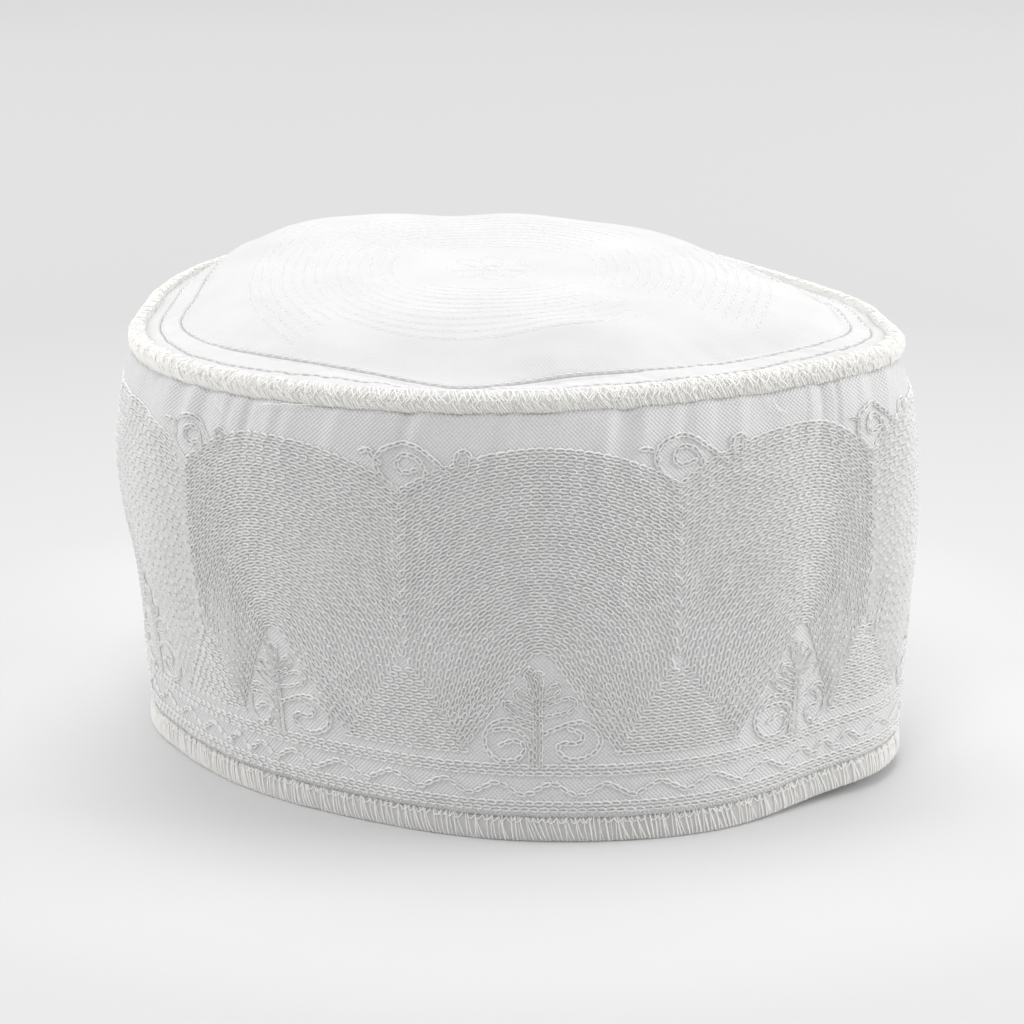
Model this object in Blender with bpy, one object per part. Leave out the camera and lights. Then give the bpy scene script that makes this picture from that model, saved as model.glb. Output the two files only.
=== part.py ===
"""An embroidered cotton cap: an upright side band with a soft crown, standing on its hem.

Four sewn pieces, each a closed solid: the side band, the overlocked hem under it, the raised
seam round its rim and the crown panel inside that seam. Metres, +Z up, front towards -Y.
"""
import math
from collections import namedtuple

import bmesh
import bpy
from mathutils import Vector

# Driving dimensions, in metres
HEAD_ROUND = 0.549          # round the rim, a size 55
BAND_HEIGHT = 0.0997        # of the side band, from the hem to the rim seam
BAND_WALL = 0.0016          # two layers of cotton with the stitching between
HEM_HEIGHT = 0.0060
HEM_WIDTH = 0.0034
HEM_OVERHANG = 0.0006       # how far the hem stands out past the band
HEM_LIFT = 0.0030           # how far the raised stretch of the hem clears the table
SEAM_HEIGHT = 0.0046
SEAM_WIDTH = 0.0042
SEAM_OVERHANG = 0.0008      # how far the rim seam stands out past the band
CROWN_WALL = 0.0012
CROWN_RISE = 0.0105         # of the crown's middle over the doubled strip along its edge
CROWN_DROP = 0.0010         # of the crown's edge under the top of the rim seam
STRIP_WIDTH = 0.0095        # of that strip
STRIP_RISE = 0.0018         # how far it climbs inwards
STRIP_EXTRA = 0.0005        # its extra thickness
STRIP_SLOPE = 0.0008        # width of the step at its inner side
GATHER_DEPTH = 0.0005       # of the small pleats under the rim seam
CLEARANCE = 0.0003          # between neighbouring pieces

# How finely the cloth is faceted
SIDES = 80

# The raised stretch of the hem, in degrees from +X, counter-clockwise
LIFT_MIDDLE = 335
LIFT_SPREAD = 36

# The outline seen from above: how far the rim and the hem stand from the middle in each
# direction, as shares of the mean radius. The right end is pinched where the cap was folded.
PlanRow = namedtuple("PlanRow", "degrees rim hem")
PLAN = [
    PlanRow(0, 0.985, 1.030),
    PlanRow(15, 0.875, 0.975),
    PlanRow(30, 0.815, 0.930),
    PlanRow(60, 0.805, 0.890),
    PlanRow(90, 0.865, 0.915),
    PlanRow(120, 0.945, 0.985),
    PlanRow(150, 1.000, 1.040),
    PlanRow(180, 1.030, 1.025),
    PlanRow(195, 1.080, 0.967),
    PlanRow(210, 1.085, 0.930),
    PlanRow(240, 0.980, 0.895),
    PlanRow(270, 0.913, 0.955),
    PlanRow(300, 0.930, 1.030),
    PlanRow(320, 1.010, 1.055),
    PlanRow(332, 1.085, 1.120),
    PlanRow(342, 1.105, 1.115),
    PlanRow(352, 1.030, 1.065),
]

# The band from the hem up: share of its height, how far its outline has turned from the
# hem's into the rim's, and its outward bulge as a share of the radius
BandRow = namedtuple("BandRow", "height turn bulge")
BAND_ROWS = [
    BandRow(0.00, 0.00, 0.000),
    BandRow(0.13, 0.13, 0.010),
    BandRow(0.27, 0.27, 0.019),
    BandRow(0.42, 0.42, 0.027),
    BandRow(0.57, 0.57, 0.033),
    BandRow(0.72, 0.72, 0.034),
    BandRow(0.84, 0.84, 0.031),
    BandRow(0.93, 0.93, 0.023),
    BandRow(1.00, 1.00, 0.000),
]

# Creases and hollows of the band: where they lie, how far they spread to each side, from
# which share of the height to which, and how far they push out, as a share of the radius
BandFold = namedtuple("BandFold", "degrees spread low high push")
BAND_FOLDS = [
    BandFold(313, 8, 0.10, 1.00, 0.012),
    BandFold(302, 9, 0.30, 0.95, -0.006),
    BandFold(352, 14, 0.20, 1.04, 0.020),
    BandFold(192, 24, 0.30, 1.04, 0.036),
    BandFold(120, 16, 0.10, 0.80, -0.008),
]

# Pleats show where the band is drawn into the rim seam, from this share of its height up
GATHER_FROM = 0.80

# Dents and folds of the crown: middle, half length, half width and turn, then the rise;
# lengths are shares of the mean radius and the rise is a share of the crown's rise
CrownFold = namedtuple("CrownFold", "x y length width degrees rise")
CROWN_FOLDS = [
    CrownFold(-0.06, -0.78, 0.34, 0.15, 4, -0.34),
    CrownFold(0.12, -0.60, 0.30, 0.08, 42, 0.22),
    CrownFold(-0.24, -0.58, 0.22, 0.14, -12, -0.18),
    CrownFold(0.42, -0.54, 0.26, 0.12, 12, -0.16),
    CrownFold(0.84, -0.12, 0.26, 0.06, -38, 0.24),
    CrownFold(0.70, 0.16, 0.26, 0.13, -50, -0.30),
    CrownFold(-0.60, 0.47, 0.44, 0.26, 32, 0.48),
    CrownFold(-0.18, 0.62, 0.12, 0.26, 0, -0.12),
    CrownFold(0.08, 0.58, 0.34, 0.24, -8, 0.25),
]
PUFF = 5.0                  # the higher, the flatter the crown's middle

# Inner rings of the crown, as shares of the way from its middle to the strip
CROWN_RINGS = [0.90, 0.78, 0.64, 0.48, 0.30, 0.14]

# Cross-sections of the two sewn edges: share of the width from outside in, share of height
SectionPoint = namedtuple("SectionPoint", "inward up")
SEAM_SECTION = [
    SectionPoint(0.00, 0.22),
    SectionPoint(0.14, 0.00),
    SectionPoint(0.86, 0.00),
    SectionPoint(1.00, 0.20),
    SectionPoint(1.00, 0.76),
    SectionPoint(0.78, 1.00),
    SectionPoint(0.26, 1.00),
    SectionPoint(0.00, 0.72),
]
HEM_SECTION = [
    SectionPoint(0.00, 0.20),
    SectionPoint(0.20, 0.00),
    SectionPoint(0.80, 0.00),
    SectionPoint(1.00, 0.20),
    SectionPoint(1.00, 0.86),
    SectionPoint(0.86, 1.00),
    SectionPoint(0.14, 1.00),
    SectionPoint(0.00, 0.80),
]

# Colours: linear red, green and blue
COTTON = (0.86, 0.86, 0.85)
THREAD = (0.82, 0.82, 0.80)
FABRIC_ROUGHNESS = 0.9


def round_the_plan(degrees, column):
    """One column of PLAN at any direction, on a smooth closed curve through its rows."""
    count = len(PLAN)
    degrees = degrees % 360
    index = max(i for i in range(count) if PLAN[i].degrees <= degrees)

    def knot(i):
        row = PLAN[i % count]
        return row.degrees + 360 * (i // count), getattr(row, column)

    (a0, v0), (a1, v1), (a2, v2), (a3, v3) = [knot(i) for i in range(index - 1, index + 3)]
    span = a2 - a1
    t = (degrees - a1) / span
    start = (v2 - v0) / (a2 - a0) * span
    end = (v3 - v1) / (a3 - a1) * span
    return ((2 * t**3 - 3 * t**2 + 1) * v1 + (t**3 - 2 * t**2 + t) * start
            + (3 * t**2 - 2 * t**3) * v2 + (t**3 - t**2) * end)


def unit_outline_length():
    """Length round the rim when the mean radius is 1."""
    steps = 720
    points = []
    for i in range(steps):
        angle = math.tau * i / steps
        radius = round_the_plan(math.degrees(angle), "rim")
        points.append(Vector((radius * math.cos(angle), radius * math.sin(angle))))
    return sum((points[i] - points[i - 1]).length for i in range(steps))


MEAN_RADIUS = HEAD_ROUND / unit_outline_length()
BAND_TOP = HEM_HEIGHT + CLEARANCE + BAND_HEIGHT
SEAM_BOTTOM = BAND_TOP + CLEARANCE
CROWN_EDGE_TOP = SEAM_BOTTOM + SEAM_HEIGHT - CROWN_DROP
CROWN_INSET = SEAM_WIDTH - SEAM_OVERHANG + CLEARANCE


def apart(degrees, middle):
    """Difference of two directions, between -180 and 180 degrees."""
    return (degrees - middle + 180) % 360 - 180


def window(value, low, high):
    """0 outside low to high, rising smoothly to 1 between them."""
    if not low < value < high:
        return 0.0
    return math.sin(math.pi * (value - low) / (high - low)) ** 2


def lift(degrees):
    """How far the hem stands off the table."""
    off = apart(degrees, LIFT_MIDDLE)
    return HEM_LIFT * window(off, -LIFT_SPREAD, LIFT_SPREAD)


def band_radius(degrees, row):
    """Distance of the band's outer face from the middle."""
    hem = round_the_plan(degrees, "hem")
    rim = round_the_plan(degrees, "rim")
    share = (hem * (1 - row.turn) + rim * row.turn) * (1 + row.bulge)
    for fold in BAND_FOLDS:
        off = apart(degrees, fold.degrees) / fold.spread
        share += fold.push * math.exp(-off * off) * window(row.height, fold.low, fold.high)
    return MEAN_RADIUS * share


def outline(row):
    """The band's outer face at one row: a point and its outward direction for each side."""
    step = 360 / SIDES
    angles = [step * i for i in range(SIDES)]

    def point(degrees):
        radius = band_radius(degrees, row)
        angle = math.radians(degrees)
        return Vector((radius * math.cos(angle), radius * math.sin(angle)))

    result = []
    for degrees in angles:
        along = point(degrees + step / 2) - point(degrees - step / 2)
        outward = Vector((along.y, -along.x)).normalized()
        result.append((point(degrees), outward))
    return result


def inset(ring, distance):
    """The same ring moved inwards by a distance."""
    return [point - outward * distance for point, outward in ring]


def add_object(name, rings, colour, caps=None):
    """Skin a closed tube through rings of points, or a disc when caps gives its two middles."""
    mesh = bpy.data.meshes.new(name)
    bm = bmesh.new()
    loops = [[bm.verts.new(point) for point in ring] for ring in rings]
    pairs = list(zip(loops, loops[1:]))
    if caps is None:
        pairs.append((loops[-1], loops[0]))
    for one, other in pairs:
        for i in range(SIDES):
            j = (i + 1) % SIDES
            bm.faces.new((one[i], one[j], other[j], other[i]))
    if caps is not None:
        for loop, middle in ((loops[0], caps[0]), (loops[-1], caps[1])):
            centre = bm.verts.new(middle)
            for i in range(SIDES):
                bm.faces.new((loop[i], loop[(i + 1) % SIDES], centre))
    bmesh.ops.recalc_face_normals(bm, faces=bm.faces)
    bm.to_mesh(mesh)
    bm.free()
    mesh.shade_smooth()
    mesh.set_sharp_from_angle(angle=math.radians(50))
    mesh.materials.append(cloth(name, colour))
    piece = bpy.data.objects.new(name, mesh)
    bpy.context.scene.collection.objects.link(piece)
    return piece


def cloth(name, colour):
    """A matt woven cotton."""
    material = bpy.data.materials.new(name)
    material.use_nodes = True
    shader = material.node_tree.nodes["Principled BSDF"]
    shader.inputs["Base Color"].default_value = (*colour, 1)
    shader.inputs["Roughness"].default_value = FABRIC_ROUGHNESS
    shader.inputs["Metallic"].default_value = 0
    return material


def raised(points, height, share):
    """Points at a height, with the hem's lift fading out up the band."""
    result = []
    for i, point in enumerate(points):
        up = lift(360 * i / SIDES) * (1 - share) ** 2
        result.append(Vector((point.x, point.y, height + up)))
    return result


def pleated(ring, row):
    """The ring drawn in at every other side, more so towards the rim seam."""
    if row.height <= GATHER_FROM or row.height >= 1:
        return ring
    return [(point - outward * (GATHER_DEPTH if i % 2 else 0), outward)
            for i, (point, outward) in enumerate(ring)]


def side_band():
    """The upright wall: its outer face up, then its inner face down."""
    outer = []
    inner = []
    for row in BAND_ROWS:
        ring = pleated(outline(row), row)
        height = HEM_HEIGHT + CLEARANCE + BAND_HEIGHT * row.height
        outer.append(raised(inset(ring, 0), height, row.height))
        inner.append(raised(inset(ring, BAND_WALL), height, row.height))
    return add_object("side_band", outer + inner[::-1], COTTON)


def sewn_edge(name, row, section, width, overhang, bottom, height):
    """A closed edging of one cross-section, run round the band's lower or upper edge."""
    ring = outline(row)
    rings = []
    for corner in section:
        points = inset(ring, corner.inward * width - overhang)
        rings.append(raised(points, bottom + corner.up * height, row.height))
    return add_object(name, rings, THREAD)


def crown_height(x, y, share):
    """Height of the crown over its edge; share is 0 in the middle and 1 where the strip ends."""
    dome = 1 - min(1, share)**PUFF
    held = max(0, min(1, (1 - share) * MEAN_RADIUS / STRIP_WIDTH + 1))
    rise = 0
    for fold in CROWN_FOLDS:
        turn = math.radians(fold.degrees)
        dx = x / MEAN_RADIUS - fold.x
        dy = y / MEAN_RADIUS - fold.y
        along = (dx * math.cos(turn) + dy * math.sin(turn)) / fold.length
        across = (dy * math.cos(turn) - dx * math.sin(turn)) / fold.width
        rise += fold.rise * math.exp(-along * along - across * across)
    return held * (STRIP_RISE + CROWN_RISE * rise) + CROWN_RISE * dome


def crown_top():
    """The soft panel: a domed sheet with a doubled strip along its edge."""
    rim = outline(BAND_ROWS[-1])
    edge = inset(rim, CROWN_INSET)
    strip_end = inset(rim, CROWN_INSET + STRIP_WIDTH)
    panel = inset(rim, CROWN_INSET + STRIP_WIDTH + STRIP_SLOPE)
    plans = [(edge, STRIP_EXTRA), (strip_end, STRIP_EXTRA), (panel, 0)]
    plans += [([point * share for point in panel], 0) for share in CROWN_RINGS]

    def ring(points, offset):
        result = []
        for point, strip_point in zip(points, strip_end):
            share = point.length / strip_point.length
            up = CROWN_EDGE_TOP - STRIP_EXTRA + crown_height(point.x, point.y, share)
            result.append(Vector((point.x, point.y, up + offset)))
        return result

    top = [ring(points, extra) for points, extra in plans]
    underside = [ring(points, -CROWN_WALL) for points, _ in plans]
    middle = CROWN_EDGE_TOP - STRIP_EXTRA + crown_height(0, 0, 0)
    caps = (Vector((0, 0, middle)), Vector((0, 0, middle - CROWN_WALL)))
    return add_object("crown_top", top[::-1] + underside, COTTON, caps)


def centre_on_origin(pieces):
    """Move the cap so that its origin is under the middle of its outline."""
    points = [vertex.co for piece in pieces for vertex in piece.data.vertices]
    low = Vector(min(point[i] for point in points) for i in range(3))
    high = Vector(max(point[i] for point in points) for i in range(3))
    shift = Vector((-(low.x + high.x) / 2, -(low.y + high.y) / 2, -low.z))
    for point in points:
        point += shift
    return shift


def main():
    for old in list(bpy.data.objects):
        bpy.data.objects.remove(old)
    pieces = [
        side_band(),
        sewn_edge("hem_edge", BAND_ROWS[0], HEM_SECTION, HEM_WIDTH, HEM_OVERHANG,
                  0, HEM_HEIGHT),
        sewn_edge("rim_seam", BAND_ROWS[-1], SEAM_SECTION, SEAM_WIDTH, SEAM_OVERHANG,
                  SEAM_BOTTOM, SEAM_HEIGHT),
        crown_top(),
    ]
    shift = centre_on_origin(pieces)
    print("moved by", [round(value, 5) for value in shift])
    for piece in pieces:
        triangles = sum(len(face.vertices) - 2 for face in piece.data.polygons)
        print(piece.name, triangles, "triangles")


main()
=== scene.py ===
import math

import bmesh
import bpy
import numpy as np
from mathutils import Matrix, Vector
from mathutils.bvhtree import BVHTree


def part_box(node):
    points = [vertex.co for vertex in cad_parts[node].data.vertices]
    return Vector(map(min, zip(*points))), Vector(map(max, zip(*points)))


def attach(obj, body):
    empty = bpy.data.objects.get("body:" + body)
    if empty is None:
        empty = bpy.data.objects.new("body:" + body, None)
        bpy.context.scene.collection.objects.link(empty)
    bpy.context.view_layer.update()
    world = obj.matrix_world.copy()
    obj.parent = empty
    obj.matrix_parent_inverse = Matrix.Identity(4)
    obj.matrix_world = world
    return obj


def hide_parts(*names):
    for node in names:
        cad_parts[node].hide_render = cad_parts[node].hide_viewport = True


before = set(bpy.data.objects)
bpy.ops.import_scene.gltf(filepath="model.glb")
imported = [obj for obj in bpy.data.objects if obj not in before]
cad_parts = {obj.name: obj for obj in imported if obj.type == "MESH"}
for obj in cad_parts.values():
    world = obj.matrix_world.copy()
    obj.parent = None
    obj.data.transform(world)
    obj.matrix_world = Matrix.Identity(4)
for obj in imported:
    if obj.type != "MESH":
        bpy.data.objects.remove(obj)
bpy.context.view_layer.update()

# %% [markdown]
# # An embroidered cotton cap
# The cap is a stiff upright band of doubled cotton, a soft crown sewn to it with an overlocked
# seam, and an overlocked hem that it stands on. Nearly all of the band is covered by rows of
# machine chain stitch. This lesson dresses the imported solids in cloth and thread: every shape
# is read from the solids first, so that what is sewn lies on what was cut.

MM = 0.001

# %% [markdown]
# ## The camera
# A long lens a little over a metre away looks down on the cap by about 17 degrees. The long
# lens keeps the band's verticals nearly upright, as they are in a product photograph.

# %% Camera
FOCAL_LENGTH_MM = 185.83
SENSOR_WIDTH_MM = 36.0
CAMERA_PLACE = (-0.00608, -1.27545, 0.4536)
CAMERA_DOWN = 0.3016        # radians
CAMERA_PAN = 0.0040


def into_scene(name, data):
    """A new object with this data, put into the scene."""
    made = bpy.data.objects.new(name, data)
    bpy.context.scene.collection.objects.link(made)
    return made


camera_data = bpy.data.cameras.new("long_lens")
camera_data.lens = FOCAL_LENGTH_MM
camera_data.sensor_width = SENSOR_WIDTH_MM
camera = into_scene("long_lens", camera_data)
camera.location = CAMERA_PLACE
camera.rotation_euler = (math.pi / 2 - CAMERA_DOWN, 0.0, -CAMERA_PAN)
bpy.context.scene.camera = camera
print("the camera looks down by", round(math.degrees(CAMERA_DOWN), 1), "degrees")

# %% [markdown]
# ## Reading the band's surface
# The band isn't a plain cylinder: it bulges, it is pinched where the cap was folded, and part
# of its hem stands off the table. Rays sent inwards from all round measure it. Keeping only
# the slower waves of those distances rounds off the solid's flat facets.

# %% Rays on the solids
DIRECTIONS = 720
RAY_START = 0.3             # metres from the middle, well clear of the cap
HEM_WINDOW = math.radians(3.0)
HEM_WAVES = 12
turn = np.arange(DIRECTIONS) * math.tau / DIRECTIONS


def solid_to_hit(name):
    """A copy of a node's mesh that rays can be sent at."""
    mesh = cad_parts[name].data
    corners = [v.co.copy() for v in mesh.vertices]
    return BVHTree.FromPolygons(corners, [tuple(face.vertices) for face in mesh.polygons])


def reach_of(solid, angle, height):
    """How far from the middle a solid's outer face is in one direction, at one height."""
    away = Vector((math.cos(angle), math.sin(angle), 0))
    hit = solid.ray_cast(away * RAY_START + Vector((0, 0, height)), -away)[0]
    return math.hypot(hit.x, hit.y)


def corners_of(name):
    """A node's corner points, one to a row."""
    return np.array([tuple(v.co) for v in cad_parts[name].data.vertices])


def slow_waves(rows, keep):
    """Each row of a closed outline's distances without its waves finer than keep."""
    waves = np.fft.rfft(rows, axis=-1)
    fade = np.clip((keep + 5 - np.arange(waves.shape[-1])) / 10, 0, 1)
    return np.fft.irfft(waves * fade, n=rows.shape[-1], axis=-1)


band_corners = corners_of("side_band")
corner_turn = np.arctan2(band_corners[:, 1], band_corners[:, 0])
band_foot = band_corners[:, 2].min()
BAND_HEIGHT = band_corners[:, 2].max() - band_foot

low_edge = np.empty(DIRECTIONS)
for i, angle in enumerate(turn):
    apart = np.abs((corner_turn - angle + math.pi) % math.tau - math.pi)
    low_edge[i] = band_corners[apart < HEM_WINDOW, 2].min()
lift = slow_waves(low_edge - band_foot, HEM_WAVES)
print("band", round(BAND_HEIGHT / MM, 1), "mm tall, hem lifted by", round(lift.max() / MM, 2), "mm")

# %% Distances of the band's outer face
LEVELS = 41
SHAPE_TERMS = 8
OUTLINE_WAVES = 30
band_solid = solid_to_hit("side_band")
share_up = np.linspace(0.012, 0.988, LEVELS)    # clear of the band's own edges
distance = np.empty((LEVELS, DIRECTIONS))
for row, up in enumerate(share_up):
    heights = band_foot + BAND_HEIGHT * up + lift * (1 - up) ** 2
    distance[row] = [reach_of(band_solid, angle, height) for angle, height in zip(turn, heights)]
distance = slow_waves(distance, OUTLINE_WAVES)
band_shape = np.polynomial.chebyshev.chebfit(share_up * 2 - 1, distance, SHAPE_TERMS)
print("band stands", round(distance.min() / MM, 1), "to", round(distance.max() / MM, 1), "mm out")

# %% [markdown]
# ## A pattern sheet wrapped round the band
# The embroidery is drawn flat, as it is on the cutting table: along the band in arches, and
# up it in millimetres. A table turns each place on that flat sheet into a point of the band.
# Nine arches go round. The rows below say where the arches of the front come to lie, as
# shares of the way round from the middle of the front; the rest are spaced evenly.

# %% The pattern sheet
ARCHES = 9
ARCH_WIDTH = 66 * MM
COLUMNS = 1800
ROWS = 221
FIRST_ARCH = -4.5
ARCH_PLACES = [
    (-1.5, -0.1525), (-1.0, -0.1120), (-0.5, -0.0495), (0.0, 0.0096),
    (0.5, 0.0692), (1.0, 0.1300), (1.5, 0.1660),
]
HIDDEN_STEP = (1 - ARCH_PLACES[-1][1] + ARCH_PLACES[0][1]) / (ARCHES - 3)


def hermite(x, knots, values):
    """A smooth curve through the values at the knots."""
    slopes = np.gradient(values, knots)
    i = np.clip(np.searchsorted(knots, x) - 1, 0, len(knots) - 2)
    span = knots[i + 1] - knots[i]
    t = (x - knots[i]) / span
    start = (2 * t**3 - 3 * t**2 + 1) * values[i] + (t**3 - 2 * t**2 + t) * span * slopes[i]
    end = (3 * t**2 - 2 * t**3) * values[i + 1] + (t**3 - t**2) * span * slopes[i + 1]
    return start + end


def polar(reach, angle, height):
    """Points at given distances and directions from the middle, and at given heights."""
    return np.stack(np.broadcast_arrays(reach * np.cos(angle), reach * np.sin(angle), height), axis=-1)


hidden = [(1.5 + half / 2, ARCH_PLACES[-1][1] + half / 2 * HIDDEN_STEP) for half in range(1, 12)]
one_round = np.array(ARCH_PLACES + hidden)
knots, places = np.concatenate([one_round - (ARCHES, 1), one_round, one_round + (ARCHES, 1)]).T
column_arch = FIRST_ARCH + np.arange(COLUMNS) * ARCHES / COLUMNS
column_share = hermite(column_arch, knots, places)

table_up = np.linspace(0, 1, ROWS)
radius = np.polynomial.chebyshev.chebval(table_up * 2 - 1, band_shape).T
angles = np.append(turn, math.tau)
band_points = np.empty((ROWS, COLUMNS, 3))
for row, up in enumerate(table_up):
    around = np.append(radius[row], radius[row][:1])
    x, y = around * np.cos(angles), around * np.sin(angles)
    along = np.concatenate([[0], np.cumsum(np.hypot(np.diff(x), np.diff(y)))])
    front = np.interp(math.radians(270), angles, along)
    wanted = (front + column_share * along[-1]) % along[-1]
    angle = np.interp(wanted, along, angles)
    rise = np.interp(angle, turn, lift, period=math.tau) * (1 - up) ** 2
    band_points[row] = polar(np.interp(angle, angles, around), angle, band_foot + BAND_HEIGHT * up + rise)
print("pattern sheet of", ROWS, "by", COLUMNS, "points")

# %% [markdown]
# ## Gathers and puckers
# The band is a little longer than the seam it is sewn into, so its top edge is drawn up in
# small slanting gathers that fade out where the stiff embroidery begins. Dense stitching also
# pulls at the cloth, which puckers it slightly everywhere. Both are smooth random waves, with
# a fixed seed so that the cap comes out the same each time.

# %% Gathers and puckers
GATHER_WIDTH = 5.4 * MM
GATHER_DEPTH = 0.55 * MM
GATHER_LEAN = 0.35          # of an arch, over the height of the band
PUCKER_DEPTH = 0.16 * MM
PUCKERS_ROUND = 150
PUCKERS_UP = 16
BOUNDARY_RISE = 0.35 * MM   # where the rows of two arches push against each other
BOUNDARY_WIDTH = 2.2 * MM
chance = np.random.default_rng(12)


def ease(t):
    """0 to 1 with a soft start and a soft end."""
    return t * t * (3 - 2 * t)


def smooth_step(value, low, high):
    """0 below the low value, 1 above the high one and eased between them."""
    return ease(np.clip((value - low) / (high - low), 0, 1))


def around_noise(arch, cells, values):
    """Smooth waves along the band; cells is how many go round it."""
    place = (arch - FIRST_ARCH) / ARCHES * cells
    i = np.floor(place).astype(int)
    t = ease(place - i)
    return values[i % cells] * (1 - t) + values[(i + 1) % cells] * t


def random_waves(arch, cells):
    """Smooth waves of fresh random heights."""
    return around_noise(arch, cells, chance.uniform(-1, 1, cells))


def unit(vectors):
    """The same vectors, each made one long."""
    return vectors / np.linalg.norm(vectors, axis=-1, keepdims=True)


def outward_directions(points):
    """Unit directions out of a surface table that is closed along its second axis."""
    along = np.roll(points, -1, axis=1) - np.roll(points, 1, axis=1)
    return unit(np.cross(along, np.gradient(points, axis=0)))


sheet_up = table_up[:, None]
gather_cells = round(ARCHES * ARCH_WIDTH / GATHER_WIDTH)
leaning = column_arch + (1 - sheet_up) * GATHER_LEAN
gathers = random_waves(leaning, gather_cells)
gathers += 0.6 * random_waves(leaning + 0.02, gather_cells * 2)
gathers *= GATHER_DEPTH * smooth_step(sheet_up, 0.80, 0.95)

pucker_values = chance.uniform(-1, 1, (PUCKERS_UP + 2, PUCKERS_ROUND))
column_values = np.stack([around_noise(column_arch, PUCKERS_ROUND, row) for row in pucker_values])
level = table_up * PUCKERS_UP
below = np.floor(level).astype(int)
t = ease(level - below)[:, None]
puckers = PUCKER_DEPTH * (column_values[below] * (1 - t) + column_values[below + 1] * t)

from_boundary = (column_arch + 0.5) % 1.0
from_boundary = np.minimum(from_boundary, 1 - from_boundary) * ARCH_WIDTH
ridge = BOUNDARY_RISE * np.exp(-(from_boundary / BOUNDARY_WIDTH) ** 2)
ridge = ridge * (smooth_step(sheet_up, 0.30, 0.42) * (1 - smooth_step(sheet_up, 0.80, 0.88)))

band_out = outward_directions(band_points)
band_points = band_points + band_out * (gathers + puckers + ridge)[:, :, None]
band_out = outward_directions(band_points)
column_length = np.linalg.norm(np.roll(band_points, -1, axis=1) - band_points, axis=2)
band_stretch = column_length / (ARCHES * ARCH_WIDTH / COLUMNS)
print("gathers and puckers up to", round(np.abs(gathers + puckers).max() / MM, 2), "mm")

# %% Looking up places on the pattern sheet
def between(table, row, t, column, after, s):
    """Values among four neighbours of a table, t of the way up and s of the way along."""
    if table.ndim == 3:
        s, t = s[..., None], t[..., None]
    low = table[row, column] * (1 - s) + table[row, after] * s
    high = table[row + 1, column] * (1 - s) + table[row + 1, after] * s
    return low * (1 - t) + high * t


def look_up(table, arch, up):
    """Values of a table at places of the pattern sheet."""
    column = (np.asarray(arch) - FIRST_ARCH) / ARCHES * COLUMNS
    row = np.clip(np.asarray(up), 0, 1) * (ROWS - 1)
    i = np.floor(column).astype(int)
    j = np.minimum(np.floor(row).astype(int), ROWS - 2)
    return between(table, j, row - j, i % COLUMNS, (i + 1) % COLUMNS, column - i)


middle_foot = look_up(band_points, np.zeros(1), np.zeros(1))[0]
print("the middle arch stands on", (middle_foot / MM).round(1), "mm")


# %% [markdown]
# ## Materials
# Everything is white cotton or white thread, so the finishes differ in weave and gloss and
# hardly in colour. The band's plain-woven cotton is matt and grainy. The crown's is pressed
# smoother, and its colour is painted a shade greyer than the band's: painted shade for its top,
# which faces the lamp overhead. A thin shadow is painted along each line of topstitching, from
# the cloth's distance to those lines. Embroidery thread is a smooth, tightly laid filament
# with a soft gloss. Overlock yarn is fluffier and creamy.

# %% Helpers for materials
def linear(hex_colour):
    """An sRGB hex value as linear red, green, blue and alpha."""
    parts = [int(hex_colour[i:i + 2], 16) / 255 for i in (1, 3, 5)]
    return tuple(c / 12.92 if c <= 0.04045 else ((c + 0.055) / 1.055) ** 2.4 for c in parts) + (1.0,)


def add(tree, kind, sockets=None, **settings):
    """Add a node; sockets are values or other nodes' outputs, settings are its own options."""
    node = tree.nodes.new(kind)
    for name, value in settings.items():
        setattr(node, name, value)
    for socket, value in (sockets or {}).items():
        if isinstance(value, bpy.types.NodeSocket):
            tree.links.new(value, node.inputs[socket])
        else:
            node.inputs[socket].default_value = value
    return node


def new_material(name):
    """A material without any nodes."""
    material = bpy.data.materials.new(name)
    material.use_nodes = True
    material.node_tree.nodes.clear()
    return material, material.node_tree


# %% Plain-woven cotton
WEAVE_THREAD = 0.54 * MM    # real yarns lie 0.35 mm apart, too fine for the picture
WEAVE_SHADE = "#B6B6B6"
# painted shade: the cloth is darkened along each line of topstitching, fading within its reach
PAINTED_NEEDLE_SHADE = "#929291"
NEEDLE_REACH = (0.05 * MM, 0.32 * MM)


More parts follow.
